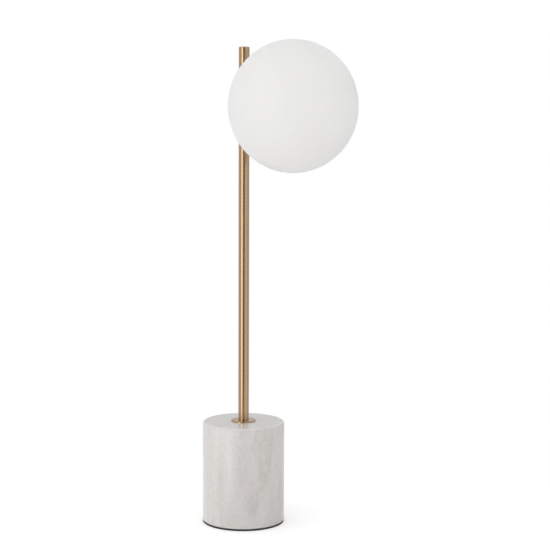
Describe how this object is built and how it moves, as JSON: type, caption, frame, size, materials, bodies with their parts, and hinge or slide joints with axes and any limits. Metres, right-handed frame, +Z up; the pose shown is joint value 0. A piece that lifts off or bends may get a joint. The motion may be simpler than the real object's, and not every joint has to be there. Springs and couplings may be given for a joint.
{
  "type": "globe table lamp",
  "caption": "Table lamp: a marble drum base, a slim brass stem and a side-mounted opal glass globe over a small screw-cap lamp",
  "frame": {"origin": "centre of the foot pad's underside, on the table, on the stem's axis", "axes": "+Z up along the stem; -Y is the front, along the side arm from the stem to the globe"},
  "size_m": [0.153, 0.2211, 0.5856],
  "materials": {
    "marble": "honed sides, polished top, white with soft beige-grey veins",
    "brass": "satin, drawn lengthways",
    "opal_glass": "matt opal, evenly white",
    "pad_foam": "closed-cell foam, matt",
    "steel": "zinc plated",
    "nickel": "satin nickel plate",
    "black_plastic": "moulded, fine matt",
    "white_plastic": "moulded, fine matt",
    "natural_plastic": "moulded, slightly waxy",
    "ceramic": "unglazed, off-white",
    "silicone": "matt silicone rubber",
    "bulb_diffuser": "frosted white",
    "contact_metal": "bare, worn bright",
    "solder": "tin solder",
    "insulator_glass": "black glass",
    "live_brown": "wire insulation",
    "neutral_blue": "wire insulation",
    "earth_green": "wire insulation"
  },
  "bodies": {
    "stand": {"marble_base": "marble", "base_pad": "pad_foam", "cord_gland": "black_plastic", "threaded_tube": "steel", "tube_bush": "white_plastic", "clamp_washer": "steel", "base_lock_washer": "steel", "base_nut": "steel", "stem_flange": "brass", "terminal_block": "natural_plastic", "terminal_tubes": "contact_metal", "terminal_screws": "steel", "earth_lug": "contact_metal", "earth_wire": "earth_green", "live_wire": "live_brown", "neutral_wire": "neutral_blue", "stem_tube": "brass", "stem_insert": "brass", "stem_cap": "brass", "arm_boss": "brass", "arm_nipple": "brass", "gallery_cup": "brass", "arm_lock_washer": "steel", "arm_nut": "steel", "globe_gasket": "silicone", "holder_cap": "black_plastic", "holder_insert": "ceramic", "holder_terminals": "contact_metal", "holder_sleeve": "black_plastic", "socket_shell": "nickel", "centre_tongue": "contact_metal"},
    "globe": {"glass_globe": "opal_glass", "globe_neck": "opal_glass"},
    "bulb_carriage": {"bulb_contact": "solder"},
    "bulb": {"bulb_insulator": "insulator_glass", "bulb_screw_shell": "nickel", "bulb_collar": "white_plastic", "bulb_glass": "bulb_diffuser"},
    "screw_carriage_left": {"screw_tip_left": "natural_plastic"},
    "screw_left": {"thumb_screw_left": "brass"},
    "screw_carriage_right": {"screw_tip_right": "natural_plastic"},
    "screw_right": {"thumb_screw_right": "brass"},
    "screw_carriage_bottom": {"screw_tip_bottom": "natural_plastic"},
    "screw_bottom": {"thumb_screw_bottom": "brass"}
  },
  "joints": [
    {"name": "globe_slide", "type": "slide", "parent": "stand", "child": "globe", "axis": [0, -1, 0], "range_m": [0, 0.115]},
    {"name": "bulb_travel", "type": "slide", "parent": "stand", "child": "bulb_carriage", "axis": [0, -1, 0], "range_m": [0, 0.01]},
    {"name": "bulb_turn", "type": "hinge", "parent": "bulb_carriage", "child": "bulb", "pos_m": [0, -0.06, 0.5091], "axis": [0, -1, 0], "range_deg": [0, 1260]},
    {"name": "screw_travel_left", "type": "slide", "parent": "stand", "child": "screw_carriage_left", "axis": [-0.866, 0, 0.5], "range_m": [0, 0.00385]},
    {"name": "screw_turn_left", "type": "hinge", "parent": "screw_carriage_left", "child": "screw_left", "pos_m": [-0.02598, -0.0216, 0.5241], "axis": [-0.866, 0, 0.5], "range_deg": [0, 1980]},
    {"name": "screw_travel_right", "type": "slide", "parent": "stand", "child": "screw_carriage_right", "axis": [0.866, 0, 0.5], "range_m": [0, 0.00385]},
    {"name": "screw_turn_right", "type": "hinge", "parent": "screw_carriage_right", "child": "screw_right", "pos_m": [0.02598, -0.0216, 0.5241], "axis": [0.866, 0, 0.5], "range_deg": [0, 1980]},
    {"name": "screw_travel_bottom", "type": "slide", "parent": "stand", "child": "screw_carriage_bottom", "axis": [0, 0, -1], "range_m": [0, 0.00385]},
    {"name": "screw_turn_bottom", "type": "hinge", "parent": "screw_carriage_bottom", "child": "screw_bottom", "pos_m": [0, -0.0216, 0.4791], "axis": [0, 0, -1], "range_deg": [0, 1980]}
  ],
  "couplings": [
    {"joint": "bulb_travel", "follows": "bulb_turn", "m_per_rad": 0.00044882},
    {"joint": "screw_turn_left", "follows": "screw_travel_left", "rad_per_m": 8976},
    {"joint": "screw_turn_right", "follows": "screw_travel_right", "rad_per_m": 8976},
    {"joint": "screw_turn_bottom", "follows": "screw_travel_bottom", "rad_per_m": 8976}
  ]
}
